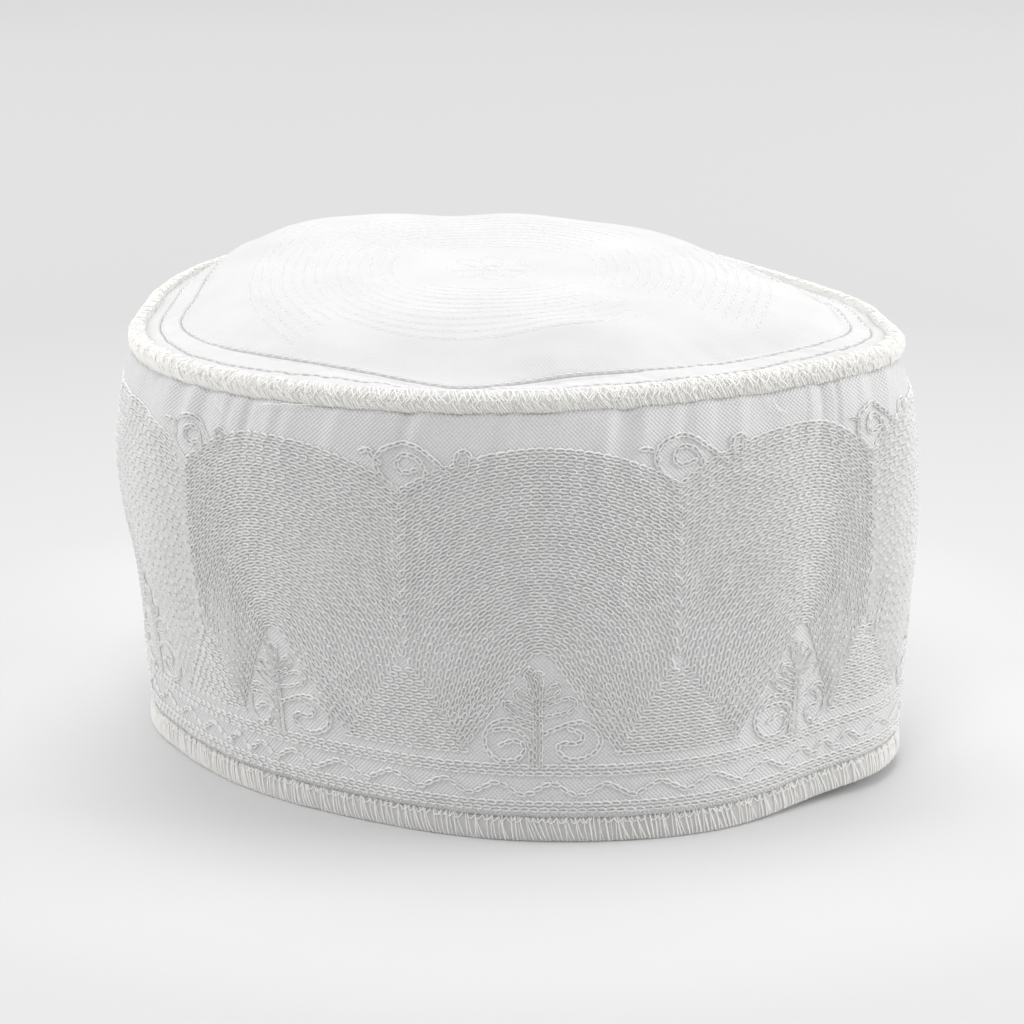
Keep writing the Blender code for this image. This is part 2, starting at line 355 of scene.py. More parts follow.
def woven_cotton(name, light, shade, grain, fuzz, needle_lines=()):
    """Matt plain weave: crossing yarns give a fine grain, and shade is painted along needle lines."""
    material, tree = new_material(name)
    cloth_place = add(tree, "ShaderNodeUVMap", uv_map="cloth")
    sides = add(tree, "ShaderNodeSeparateXYZ", {"Vector": cloth_place.outputs["UV"]})
    waves = []
    for axis in ("X", "Y"):
        turned = add(tree, "ShaderNodeMath", {0: sides.outputs[axis], 1: math.pi / WEAVE_THREAD},
                     operation="MULTIPLY")
        waves.append(add(tree, "ShaderNodeMath", {0: turned.outputs[0]}, operation="SINE"))
    crossing = add(tree, "ShaderNodeMath", {0: waves[0].outputs[0], 1: waves[1].outputs[0]},
                   operation="MULTIPLY")
    place = add(tree, "ShaderNodeTexCoord")
    slubs = add(tree, "ShaderNodeTexNoise", {"Vector": place.outputs["Object"], "Scale": 420.0,
                                             "Detail": 3.0, "Roughness": 0.6})
    creases = add(tree, "ShaderNodeTexNoise", {"Vector": place.outputs["Object"], "Scale": 60.0,
                                               "Detail": 2.0})
    tone = add(tree, "ShaderNodeValToRGB", {"Fac": creases.outputs["Fac"]})
    tone.color_ramp.elements[0].position = 0.3
    tone.color_ramp.elements[0].color = linear(shade)
    tone.color_ramp.elements[1].position = 0.7
    tone.color_ramp.elements[1].color = linear(light)
    crossing_tone = add(tree, "ShaderNodeMapRange", {"Value": crossing.outputs[0], "From Min": -0.6,
                                                     "From Max": 0.6, "To Min": 0.0,
                                                     "To Max": 0.40 * grain})
    tone = add(tree, "ShaderNodeMix", {0: crossing_tone.outputs["Result"], 6: tone.outputs["Color"],
                                       7: linear(WEAVE_SHADE)}, data_type="RGBA")
    # paint shade along each needle line, from the cloth's distance to it
    for line in needle_lines:
        away = add(tree, "ShaderNodeAttribute", attribute_name=line)
        distance = add(tree, "ShaderNodeMath", {0: away.outputs["Fac"]}, operation="ABSOLUTE")
        shaded = add(tree, "ShaderNodeMapRange", {"Value": distance.outputs[0], "From Min": NEEDLE_REACH[0],
                                                  "From Max": NEEDLE_REACH[1], "To Min": 0.7, "To Max": 0.0})
        tone = add(tree, "ShaderNodeMix", {0: shaded.outputs["Result"], 6: tone.outputs[2],
                                           7: linear(PAINTED_NEEDLE_SHADE)}, data_type="RGBA")
    slub_bump = add(tree, "ShaderNodeBump", {"Strength": 0.25, "Distance": 0.15 * MM,
                                             "Height": slubs.outputs["Fac"]})
    weave_bump = add(tree, "ShaderNodeBump", {"Strength": grain, "Distance": 0.14 * MM,
                                              "Height": crossing.outputs[0],
                                              "Normal": slub_bump.outputs["Normal"]})
    shader = add(tree, "ShaderNodeBsdfPrincipled", {
        "Base Color": tone.outputs[2], "Roughness": 0.85, "IOR": 1.5,
        "Specular IOR Level": 0.25, "Sheen Weight": fuzz, "Sheen Roughness": 0.5,
        "Normal": weave_bump.outputs["Normal"]})
    add(tree, "ShaderNodeOutputMaterial", {"Surface": shader.outputs["BSDF"]})
    return material


# the band's cotton shows a clear, matt grain between the rows of stitches
band_cotton = woven_cotton("white_plain_woven_cotton", "#E2E2E1", "#DCDCDB", 0.9, 0.5)
# the crown's looks smooth and soft; its colour is painted a shade greyer than the band's, as
# painted shade for its top, which faces the lamp overhead, and thin lines of shade are painted
# along the needle lines
crown_cotton = woven_cotton("white_topstitched_cotton", "#D2D2D1", "#CCCCCB", 0.16, 0.15,
                            ("from_outer_line", "from_inner_line"))
print("weave drawn at", round(WEAVE_THREAD / MM, 2), "mm a thread")


# %% Embroidery thread and overlock yarn
def twisted_thread(name, light, shade, roughness, sheen, see_through):
    """A laid filament: soft gloss, lit through, with small changes of tone between stitches."""
    material, tree = new_material(name)
    place = add(tree, "ShaderNodeTexCoord")
    patches = add(tree, "ShaderNodeTexNoise", {"Vector": place.outputs["Object"], "Scale": 900.0,
                                               "Detail": 2.0})
    tone = add(tree, "ShaderNodeValToRGB", {"Fac": patches.outputs["Fac"]})
    tone.color_ramp.elements[0].position = 0.35
    tone.color_ramp.elements[0].color = linear(shade)
    tone.color_ramp.elements[1].position = 0.65
    tone.color_ramp.elements[1].color = linear(light)
    fibres = add(tree, "ShaderNodeTexNoise", {"Vector": place.outputs["Object"], "Scale": 4200.0,
                                              "Detail": 1.0})
    bump = add(tree, "ShaderNodeBump", {"Strength": 0.3, "Distance": 0.05 * MM,
                                        "Height": fibres.outputs["Fac"]})
    shader = add(tree, "ShaderNodeBsdfPrincipled", {
        "Base Color": tone.outputs["Color"], "Roughness": roughness, "IOR": 1.5,
        "Specular IOR Level": 0.35, "Sheen Weight": sheen, "Sheen Roughness": 0.4,
        "Normal": bump.outputs["Normal"]})
    through = add(tree, "ShaderNodeBsdfTranslucent", {"Color": tone.outputs["Color"]})
    both = add(tree, "ShaderNodeMixShader", {0: see_through, 1: shader.outputs["BSDF"],
                                             2: through.outputs["BSDF"]})
    add(tree, "ShaderNodeOutputMaterial", {"Surface": both.outputs["Shader"]})
    return material


# the filament gives the stitches their soft gloss and bright loops
embroidery_thread = twisted_thread("white_embroidery_filament", "#FBFBFA", "#F4F4F3", 0.55, 0.45, 0.35)
# the yarn looks fluffy and dull, and light comes through its strands
overlock_yarn = twisted_thread("cream_overlock_yarn", "#FFFFFE", "#FEFDFB", 0.75, 0.7, 0.6)
print("materials:", ", ".join(material.name for material in bpy.data.materials))

# %% [markdown]
# ## Cloth as closed shells
# Each piece of cloth is a closed shell of rings: up the outside, over the edge and down the
# inside. Its UV map is in metres along and across the cloth, so the weave keeps its real size
# and follows every fold.

# %% A shell from rings
def ring_shell(name, rings, cloth_up, material, caps=None):
    """Skin rings of points, each closed, into one closed shell with a cloth UV map."""
    rings = np.asarray(rings)
    count, sides = rings.shape[:2]
    points = rings.reshape(-1, 3)
    strips = count if caps is None else count - 1
    low = np.repeat(np.arange(strips), sides)
    high = (low + 1) % count
    side = np.tile(np.arange(sides), strips)
    after = (side + 1) % sides
    quads = np.stack([low * sides + side, low * sides + after,
                      high * sides + after, high * sides + side], axis=1)
    triangles = []
    if caps is not None:
        points = np.concatenate([points, np.asarray(caps)])
        under, over = len(points) - 2, len(points) - 1
        top = (count - 1) * sides
        pairs = [(k, (k + 1) % sides) for k in range(sides)]
        triangles = [(under, b, a) for a, b in pairs] + [(over, top + a, top + b) for a, b in pairs]
    mesh = bpy.data.meshes.new(name)
    mesh.from_pydata(points.tolist(), [], quads.tolist() + triangles)
    step = np.linalg.norm(rings - np.roll(rings, 1, axis=1), axis=2).mean(axis=0)
    along = np.concatenate([[0], np.cumsum(step)])
    across = np.asarray(cloth_up)
    uv = np.zeros((len(mesh.loops), 2))
    u = [along[side], along[side + 1], along[side + 1], along[side]]
    uv[:quads.size, 0] = np.stack(u, axis=1).ravel()
    uv[:quads.size, 1] = np.stack([across[low], across[low], across[high], across[high]], axis=1).ravel()
    mesh.uv_layers.new(name="cloth").data.foreach_set("uv", uv.ravel())
    mesh.shade_smooth()
    mesh.materials.append(material)
    return into_scene(name, mesh)


# %% [markdown]
# ## The band's cloth
# On the real cap the band is two layers of cotton with stiffening between. Its outer face
# comes straight from the pattern sheet; its inner face is the same outline a cloth's
# thickness further in, plainly finished, because it only shows from below.

# %% The band's cloth
BAND_WALL = 1.5 * MM
CLOTH_COLUMNS = 720
OUTER_ROWS = 66
INNER_ROWS = 9
cloth_arch = FIRST_ARCH + np.arange(CLOTH_COLUMNS) * ARCHES / CLOTH_COLUMNS

rings = []
ring_up = []
for up in np.linspace(0.0, 1.0, OUTER_ROWS):
    rings.append(look_up(band_points, cloth_arch, np.full(CLOTH_COLUMNS, up)))
    ring_up.append(up * BAND_HEIGHT)
for up in np.linspace(1.0, 0.0, INNER_ROWS):
    level = np.full(CLOTH_COLUMNS, up)
    rings.append(look_up(band_points, cloth_arch, level) - look_up(band_out, cloth_arch, level) * BAND_WALL)
    ring_up.append((2 - up) * BAND_HEIGHT)
band_cloth = ring_shell("band_cloth", rings, ring_up, band_cotton)
print("band cloth", len(band_cloth.data.polygons), "faces")

# %% [markdown]
# ## One chain stitch
# A chain stitch is a loop of thread. It leaves the cloth at a needle hole, opens out, and is
# held down at its far end by the next loop, which comes up inside it. One such link, a closed
# ring of thread of few facets, is made once; the rows below repeat it thousands of times, so
# it has only seven corners round its loop and three round its thread.

# %% One chain stitch
STITCH_LENGTH = 2.3 * MM
ROW_SPACING = 1.58 * MM
THREAD_THICKNESS = 0.57 * MM

# place along the stitch, place across it and height, in shares of its length and half width
LINK_CORNERS = [
    (-0.50, 0.00, 0.02),
    (-0.22, 0.74, 0.22),
    (0.20, 1.00, 0.28),
    (0.56, 0.50, 0.42),
    (0.56, -0.50, 0.42),
    (0.20, -1.00, 0.28),
    (-0.22, -0.74, 0.22),
]


def triangles_of(mesh):
    """How many triangles a mesh's faces come to."""
    return sum(len(face.vertices) - 2 for face in mesh.polygons)


def thread_ring(name, corners, thickness, sides=3, closed=True):
    """A bent thread along a few corners, as a helper mesh that stitches are copied from."""
    path = np.array(corners, float)
    count = len(path)
    if closed:
        tangent = unit(np.roll(path, -1, axis=0) - np.roll(path, 1, axis=0))
    else:
        tangent = unit(np.gradient(path, axis=0))
    side = unit(np.cross(np.array([0, 0, 1.0]), tangent))
    over = np.cross(tangent, side)
    points = []
    for i in range(count):
        for k in range(sides):
            angle = math.tau * k / sides + math.pi / 2
            points.append(path[i] + thickness / 2 * (side[i] * math.cos(angle) + over[i] * math.sin(angle)))
    faces = []
    for i in range(count if closed else count - 1):
        j = (i + 1) % count
        for k in range(sides):
            n = (k + 1) % sides
            faces.append((i * sides + k, i * sides + n, j * sides + n, j * sides + k))
    if not closed:
        faces.append(tuple(range(sides))[::-1])
        faces.append(tuple((count - 1) * sides + k for k in range(sides)))
    mesh = bpy.data.meshes.new(name)
    mesh.from_pydata([tuple(p) for p in points], [], faces)
    shape = bmesh.new()
    shape.from_mesh(mesh)
    bmesh.ops.recalc_face_normals(shape, faces=shape.faces)
    shape.to_mesh(mesh)
    shape.free()
    return into_scene(name, mesh)


half_width = (ROW_SPACING - THREAD_THICKNESS) / 2
chain_link = thread_ring(
    "chain_link",
    [(x * STITCH_LENGTH, y * half_width, z * MM) for x, y, z in LINK_CORNERS],
    THREAD_THICKNESS)
print("one link has", triangles_of(chain_link.data), "triangles")

# %% [markdown]
# ## Sewing along rows
# Rows of stitches follow paths on the cloth, which is what Geometry Nodes do well. The tree
# takes bare lines that carry the cloth's outward direction at each point, cuts them into
# stitch lengths, sets a link on each, lying flat on the cloth and pointing along the row, and
# turns and scales each a little at random, as a machine does not sew quite evenly.

# %% The sewing tree
SIZE_SEED_SHIFT = 17.0      # so that a stitch's size and its turn are drawn apart


def build_sewing_tree():
    """Geometry Nodes that set stitches along bare lines lying on the cloth."""
    tree = bpy.data.node_groups.new("sew_along_rows", "GeometryNodeTree")
    tree.is_modifier = True
    for name, kind in (("Rows", "Geometry"), ("Stitch", "Object"), ("Stitch Length", "Float"),
                       ("Unevenness", "Float"), ("Seed", "Int"), ("Thread", "Material")):
        tree.interface.new_socket(name, in_out="INPUT", socket_type="NodeSocket" + kind)
    tree.interface.new_socket("Sewn", in_out="OUTPUT", socket_type="NodeSocketGeometry")
    given = add(tree, "NodeGroupInput").outputs
    lines = add(tree, "GeometryNodeMeshToCurve", {"Mesh": given["Rows"]})
    cut = add(tree, "GeometryNodeResampleCurve",
              {"Curve": lines.outputs["Curve"], "Length": given["Stitch Length"]}, mode="LENGTH")
    out = add(tree, "GeometryNodeInputNamedAttribute", {"Name": "cloth_out"}, data_type="FLOAT_VECTOR")
    width = add(tree, "GeometryNodeInputNamedAttribute", {"Name": "row_width"}, data_type="FLOAT")
    along = add(tree, "GeometryNodeInputTangent")
    facing = add(tree, "FunctionNodeAxesToRotation",
                 {"Primary Axis": out.outputs["Attribute"], "Secondary Axis": along.outputs["Tangent"]},
                 primary_axis="Z", secondary_axis="X")
    minus = add(tree, "ShaderNodeMath", {0: given["Unevenness"], 1: -1.0}, operation="MULTIPLY")
    spread = add(tree, "FunctionNodeRandomValue",
                 {2: minus.outputs[0], 3: given["Unevenness"], "Seed": given["Seed"]}, data_type="FLOAT")
    swing = add(tree, "ShaderNodeCombineXYZ", {"Z": spread.outputs[1]})
    turned = add(tree, "FunctionNodeEulerToRotation", {"Euler": swing.outputs[0]})
    swung = add(tree, "FunctionNodeRotateRotation",
                {"Rotation": facing.outputs[0], "Rotate By": turned.outputs[0]},
                rotation_space="LOCAL")
    size_seed = add(tree, "ShaderNodeMath", {0: given["Seed"], 1: SIZE_SEED_SHIFT}, operation="ADD")
    size = add(tree, "FunctionNodeRandomValue",
               {2: minus.outputs[0], 3: given["Unevenness"], "Seed": size_seed.outputs[0]},
               data_type="FLOAT")
    longer = add(tree, "ShaderNodeMath", {0: size.outputs[1], 1: 1.0}, operation="ADD")
    scale = add(tree, "ShaderNodeCombineXYZ",
                {"X": longer.outputs[0], "Y": width.outputs["Attribute"], "Z": longer.outputs[0]})
    link = add(tree, "GeometryNodeObjectInfo", {"Object": given["Stitch"]}, transform_space="ORIGINAL")
    sewn = add(tree, "GeometryNodeInstanceOnPoints",
               {"Points": cut.outputs["Curve"], "Instance": link.outputs["Geometry"],
                "Rotation": swung.outputs[0], "Scale": scale.outputs[0]})
    real = add(tree, "GeometryNodeRealizeInstances", {"Geometry": sewn.outputs["Instances"]})
    finished = add(tree, "GeometryNodeSetMaterial",
                   {"Geometry": real.outputs["Geometry"], "Material": given["Thread"]})
    add(tree, "NodeGroupOutput", {"Sewn": finished.outputs["Geometry"]})
    return tree


sewing_tree = build_sewing_tree()


def sew(name, rows, stitch, thread, length, unevenness=0.11, seed=1):
    """Sew rows of stitches; each row is its points, the cloth's outward directions and widths."""
    points, outs, widths = (np.concatenate(parts) for parts in zip(*rows))
    edges = []
    start = 0
    for row in rows:
        count = len(row[0])
        edges += [(start + i, start + i + 1) for i in range(count - 1)]
        start += count
    mesh = bpy.data.meshes.new(name)
    mesh.from_pydata(points.tolist(), edges, [])
    mesh.attributes.new("cloth_out", "FLOAT_VECTOR", "POINT").data.foreach_set("vector", outs.ravel())
    mesh.attributes.new("row_width", "FLOAT", "POINT").data.foreach_set("value", widths)
    lines = into_scene(name + "_lines", mesh)
    sewer = lines.modifiers.new("sew", "NODES")
    sewer.node_group = sewing_tree
    sockets = {s.name: s.identifier for s in sewing_tree.interface.items_tree if s.in_out == "INPUT"}
    for socket, value in (("Stitch", stitch), ("Stitch Length", length), ("Unevenness", unevenness),
                          ("Seed", seed), ("Thread", thread)):
        sewer[sockets[socket]] = value
    bpy.context.view_layer.update()
    seen = bpy.context.evaluated_depsgraph_get()
    sewn = bpy.data.meshes.new_from_object(lines.evaluated_get(seen))
    bpy.data.objects.remove(lines)
    sewn.name = name
    for spare in ("cloth_out", "row_width"):
        if spare in sewn.attributes:
            sewn.attributes.remove(sewn.attributes[spare])
    print(name, len(rows), "rows,", triangles_of(sewn), "triangles")
    return into_scene(name, sewn)


print("the sewing tree has", len(sewing_tree.nodes), "nodes")


# %% [markdown]
# ## Rows on the pattern sheet
# Each motif is drawn in millimetres from the foot of its arch: x along the band, y up it. A
# drawn line is laid on the band by looking up its points, closely enough spaced to bend with
# the cloth. Where the band turns away the sheet is squeezed, and the links narrow with it.

# %% Drawn lines on the band
LINE_STEP = 0.8 * MM


def evenly(line, step=LINE_STEP):
    """The same drawn line with points a step apart."""
    line = np.asarray(line, float)
    pieces = np.linalg.norm(np.diff(line, axis=0), axis=1)
    along = np.concatenate([[0], np.cumsum(pieces)])
    count = max(2, int(along[-1] / step) + 1)
    wanted = np.linspace(0, along[-1], count)
    return np.stack([np.interp(wanted, along, line[:, k]) for k in (0, 1)], axis=1)


def on_band(line, arch, width=1.0):
    """A drawn line of one arch as a row on the band, ready to sew."""
    line = evenly(line)
    arches = arch + line[:, 0] / ARCH_WIDTH
    ups = line[:, 1] / BAND_HEIGHT
    along = unit(np.gradient(line, axis=0))
    squeeze = look_up(band_stretch, arches, ups)
    widths = width * np.hypot(along[:, 1] * squeeze, along[:, 0])
    return look_up(band_points, arches, ups), look_up(band_out, arches, ups), widths


def smooth_line(corners, steps=10):
    """A rounded line through a few given corners, in millimetres."""
    corners = np.array(corners, float) * MM
    before = 2 * corners[:1] - corners[1:2]
    after = 2 * corners[-1:] - corners[-2:-1]
    corners = np.concatenate([before, corners, after])
    found = []
    for a, b, c, d in zip(corners, corners[1:], corners[2:], corners[3:]):
        for t in np.arange(steps) / steps:
            found.append(0.5 * (2 * b + (c - a) * t + (2 * a - 5 * b + 4 * c - d) * t**2
                                + (3 * b - a - 3 * c + d) * t**3))
    found.append(corners[-2])
    return np.array(found)


print("drawn lines have a point every", LINE_STEP / MM, "mm")


# %% [markdown]
# ## The arches
# Each arch is filled with about thirty nested rows. The outer ones are arcs of circles round
# one middle, cut off at the arch's upright sides. Further in, the rows come down in straight
# legs, and the nearer they are to the middle, the more these lean, until the last two meet in
# a pointed tent. The legs end on the slanting sides of the pyramids that stand between.

# %% The arches
ARCH_TOP = 91.2 * MM
TENT_TOP = 41.6 * MM
ROUND_MIDDLE = 32.5 * MM
TENT_ROUNDING = 3.0 * MM
TENT_LEAN = math.radians(34.0)
LEG_LENGTH = 60 * MM        # longer than any leg, which is then cut off
SIDE_GAP = 0.55 * MM
ABOVE_PYRAMID = 1.3 * MM
ABOVE_BORDER = 0.6 * MM
PYRAMID_TOP = 39.2 * MM
PYRAMID_FOOT = 15.4 * MM
PYRAMID_HALF = 15.4 * MM
half_arch = ARCH_WIDTH / 2
legs_start_below = ROUND_MIDDLE + half_arch


def pyramid_edge(x):
    """Height of the pyramids' slanting sides at a place along the arch."""
    inward = half_arch - np.abs(x)
    return PYRAMID_TOP - (PYRAMID_TOP - PYRAMID_FOOT) * inward / PYRAMID_HALF


def arch_row(top):
    """One nested row of an arch, as the stretch of it that lies inside the arch."""
    lean = 0.0
    middle = ROUND_MIDDLE
    rounding = top - middle
    if top < legs_start_below:
        inner = (legs_start_below - top) / (legs_start_below - TENT_TOP)
        rounding = half_arch + (TENT_ROUNDING - half_arch) * inner
        middle = top - rounding
        lean = TENT_LEAN * inner
    angles = np.linspace(-(math.pi / 2 - lean), math.pi / 2 - lean, 700)
    dome = np.stack([rounding * np.sin(angles), middle + rounding * np.cos(angles)], axis=1)
    reach = np.linspace(LEG_LENGTH, 0.2 * MM, 300)[:, None]
    left = dome[:1] + reach * np.array([[-math.sin(lean), -math.cos(lean)]])
    right = (dome[-1:] + reach * np.array([[math.sin(lean), -math.cos(lean)]]))[::-1]
    line = np.concatenate([left, dome, right])
    lowest = np.maximum(pyramid_edge(line[:, 0]) + ABOVE_PYRAMID, PYRAMID_FOOT + ABOVE_BORDER)
    found = np.flatnonzero((np.abs(line[:, 0]) < half_arch - SIDE_GAP) & (line[:, 1] > lowest))
    return line[found[0]:found[-1] + 1]


row_tops = np.arange(ARCH_TOP, TENT_TOP - 0.5 * ROW_SPACING, -ROW_SPACING)
arch_rows = [arch_row(top) for top in row_tops]
print(len(arch_rows), "rows to an arch")

# three pieces of three arches each; neighbouring rows are sewn in opposite ways
arch_pieces = []
for group in range(3):
    rows = []
    for arch in range(-4 + 3 * group, -1 + 3 * group):
        for k, line in enumerate(arch_rows):
            rows.append(on_band(line if (k + arch) % 2 else line[::-1], arch))
    arch_pieces.append(sew("arch_rows_%d" % group, rows, chain_link, embroidery_thread,
                           STITCH_LENGTH, seed=group))

# %% [markdown]
# ## Pyramids, border rows and zigzag
# Between the arches stand pyramids of level rows, each shorter than the one below. Under
# them run two double rows of chain stitch round the whole cap, with a zigzag between.

# %% Pyramids and borders
PYRAMID_ROWS = 14
LOWEST_ROW = PYRAMID_FOOT + 0.9 * MM
SHORTEST_HALF = 0.8 * MM
BORDER_ROWS = [13.0 * MM, 11.2 * MM, 3.6 * MM, 1.9 * MM]
BORDER_POINTS = 900
ZIGZAG_MIDDLE = 7.2 * MM
ZIGZAG_HEIGHT = 2.0 * MM
ZIGZAG_SHIFT = 0.04         # of an arch
ZIGZAG_SHARPNESS = 0.94     # 1 would give points without any rounding
ZIGZAGS_PER_ARCH = 5

rows = []
for arch in range(ARCHES):
    for k in range(PYRAMID_ROWS):
        half = PYRAMID_HALF * (1 - k / (PYRAMID_ROWS + 0.4)) - 1.0 * MM
        level = LOWEST_ROW + k * (PYRAMID_TOP - PYRAMID_FOOT) / (PYRAMID_ROWS + 0.6)
        if half > SHORTEST_HALF:
            rows.append(on_band([(-half, level), (half, level)], arch + 0.5))
all_round = np.linspace(FIRST_ARCH, FIRST_ARCH + ARCHES, BORDER_POINTS) * ARCH_WIDTH
for level in BORDER_ROWS:
    rows.append(on_band(np.stack([all_round, np.full(BORDER_POINTS, level)], axis=1), 0.0))
phase = (all_round / ARCH_WIDTH - ZIGZAG_SHIFT) * ZIGZAGS_PER_ARCH * math.tau
wave = np.arcsin(np.cos(phase) * ZIGZAG_SHARPNESS) / (math.pi / 2)
rows.append(on_band(np.stack([all_round, ZIGZAG_MIDDLE + ZIGZAG_HEIGHT * wave], axis=1), 0.0))
border_stitches = sew("border_stitches", rows, chain_link, embroidery_thread, STITCH_LENGTH, seed=8)

# %% [markdown]
# ## Sprigs and scrolls
# In each tent opening stands a small sprig: a double stem with pairs of leaves and a bud,
# and at its foot a scroll to either side. Over each boundary between two arches sits a
# spiral with a small leaf and a curl. They are drawn as a pattern drawer would, in
# millimetres from the foot of the stem or from the middle of the spiral.

# %% Sprigs and scrolls
LEAF_LINES = [
    [(-1.2, 13.4), (-1.2, 19.0), (-1.3, 24.7), (-1.3, 29.1)],
    [(0.3, 13.4), (0.3, 20.3), (0.1, 27.6), (0.2, 32.5)],
    [(-1.1, 24.2), (-3.6, 24.7), (-5.7, 25.7), (-8.0, 27.5), (-8.9, 29.4), (-6.4, 28.5),
     (-4.0, 27.1), (-1.5, 26.0)],
    [(-1.3, 27.5), (-2.8, 28.6), (-4.9, 29.4), (-6.4, 31.8), (-4.7, 32.1), (-3.6, 30.9),
     (-2.4, 30.1), (-1.3, 29.5)],
    [(-1.3, 29.7), (-2.4, 32.5), (-3.1, 34.5), (-3.6, 38.2), (-2.4, 36.4), (-1.5, 33.8),
     (-1.1, 31.6)],
    [(-0.9, 34.0), (-1.7, 35.7), (-1.1, 37.0), (-0.1, 36.8), (0.4, 35.6), (0.2, 34.0), (0.2, 32.7)],
    [(0.6, 29.4), (2.4, 30.1), (3.8, 31.5), (4.8, 34.2), (3.5, 33.7), (2.5, 32.9), (1.7, 31.8),
     (0.7, 30.8)],
    [(0.6, 28.1), (4.2, 29.8), (6.5, 30.5), (8.0, 30.1), (8.4, 29.1), (7.7, 27.6), (4.4, 26.4),
     (0.6, 25.5)],
]
SCROLL_LINES = [
    [(0.6, 21.4), (4.2, 22.9), (6.9, 24.0), (9.4, 24.4), (11.7, 23.5), (13.7, 21.6), (14.3, 19.6),
     (13.7, 17.4), (11.7, 15.7), (9.2, 14.8), (6.7, 15.0), (4.8, 16.4), (4.2, 18.1), (5.4, 19.0),
     (8.2, 18.9), (10.1, 19.8), (9.4, 21.6), (7.5, 22.4)],
    [(-1.7, 22.5), (-4.7, 23.8), (-6.2, 24.5), (-8.3, 24.8), (-10.4, 24.2), (-12.3, 22.7),
     (-13.1, 20.8), (-13.3, 18.6), (-12.5, 16.4), (-10.8, 14.8), (-8.3, 14.3), (-5.7, 14.8),
     (-4.2, 16.1), (-3.8, 17.9), (-4.7, 19.2), (-6.8, 19.5), (-8.9, 18.6)],
    [(-2.2, 14.2), (-2.2, 17.4), (-2.8, 19.4), (-4.1, 21.2), (-5.7, 22.1), (-7.8, 22.5),
     (-9.9, 22.3)],
]
SPIRAL_CENTRE = 86.6
SPIRAL_LINES = [
    [(11.6, -1.2), (9.2, 1.0), (7.4, 2.5), (5.3, 4.3), (3.4, 5.5), (0.9, 6.1), (-1.4, 5.5),
     (-3.7, 4.5), (-5.2, 2.5), (-5.4, 0.2), (-4.4, -2.0), (-2.7, -4.2), (-0.2, -5.6), (2.8, -5.4),
     (5.1, -4.0), (6.1, -2.0), (5.4, 0.4), (4.2, 2.3), (2.5, 3.2), (0.7, 3.2), (-0.6, 2.0),
     (-0.8, 0.1), (0.7, -1.0), (3.2, -0.4)],
    [(14.3, -0.4), (13.2, 0.9), (13.1, 3.1), (14.7, 4.5), (16.2, 3.7), (15.9, 2.2)],
    [(-8.6, 3.6), (-8.3, 4.5), (-7.2, 3.7), (-6.5, 2.5), (-5.3, 1.5)],
]
SPRIG_STITCH = 1.8 * MM

rows = []
for arch in range(ARCHES):
    for corners in LEAF_LINES:
        rows.append(on_band(smooth_line(corners), arch, 0.75))
    for corners in SCROLL_LINES:
        rows.append(on_band(smooth_line(corners), arch))
    for corners in SPIRAL_LINES:
        placed = smooth_line([(x, y + SPIRAL_CENTRE) for x, y in corners])
        rows.append(on_band(placed, arch + 0.5, 0.95))
sprig_stitches = sew("sprig_stitches", rows, chain_link, embroidery_thread, SPRIG_STITCH, seed=5)

# %% [markdown]
# ## The crown's surface
# The crown is read like the band, but from above: rays straight down on a fan of places from
# its middle to its edge. Its edge is doubled and topstitched twice. Each line of stitches
# draws the cloth down into a groove, and the cloth between swells a little and puckers.

# %% The crown's surface
TUCK = 0.5 * MM             # of the crown's edge under the rim seam
CROWN_WAVES = 34
CROWN_SHARES = np.concatenate([np.linspace(0.02, 0.80, 40), np.linspace(0.81, 0.985, 60)])
crown_solid = solid_to_hit("crown_top")
crown_corners = corners_of("crown_top")
outer_corners = crown_corners[np.hypot(crown_corners[:, 0], crown_corners[:, 1]) > 70 * MM]
edge_level = outer_corners[:, 2].min() + 1.1 * MM

crown_edge = np.array([reach_of(crown_solid, angle, edge_level) for angle in turn])
crown_edge = slow_waves(crown_edge, OUTLINE_WAVES) + TUCK
crown_heights = np.empty((len(CROWN_SHARES), DIRECTIONS))
for row, share in enumerate(CROWN_SHARES):
    for i, angle in enumerate(turn):
        reach = min(crown_edge[i] * share, crown_edge[i] - TUCK - 0.5 * MM)
        above = Vector((reach * math.cos(angle), reach * math.sin(angle), RAY_START))
        crown_heights[row, i] = crown_solid.ray_cast(above, Vector((0, 0, -1)))[0].z
crown_heights = slow_waves(crown_heights, CROWN_WAVES)
print("crown edge", round(crown_edge.min() / MM, 1), "to", round(crown_edge.max() / MM, 1), "mm out")

# %% Topstitching grooves and puckers
# direction in degrees, and how far in from the edge each line runs there, in millimetres
OUTER_LINE = [(0, 4.2), (25, 3.2), (120, 3.2), (180, 4.0), (202, 3.8), (217, 4.0), (227, 5.3),
              (236, 6.1), (245, 7.4), (255, 9.0), (265, 7.4), (275, 6.4), (286, 5.9), (296, 3.6),
              (306, 3.0), (316, 3.2), (327, 5.4), (337, 4.0)]
INNER_LINE = [(0, 9.8), (25, 7.0), (60, 6.8), (120, 7.2), (160, 8.6), (180, 10.0), (193, 8.6),
              (211, 11.2), (223, 12.5), (233, 12.3), (243, 13.0), (254, 12.6), (265, 10.6),
              (271, 11.5), (279, 12.7), (288, 11.8), (299, 11.1), (310, 10.2), (319, 9.2),
              (332, 10.8), (342, 8.8)]
GROOVE_DEPTH = 0.45 * MM
GROOVE_WIDTH = 0.42 * MM
EDGE_PUCKER = 0.24 * MM
PANEL_PUCKER = 0.22 * MM


def smooth_round(table, keep):
    """A smooth closed run of lengths, from a table of degrees and millimetres."""
    degrees, lengths = np.array(table, float).T
    return slow_waves(np.interp(np.degrees(turn), degrees, lengths * MM, period=360), keep)


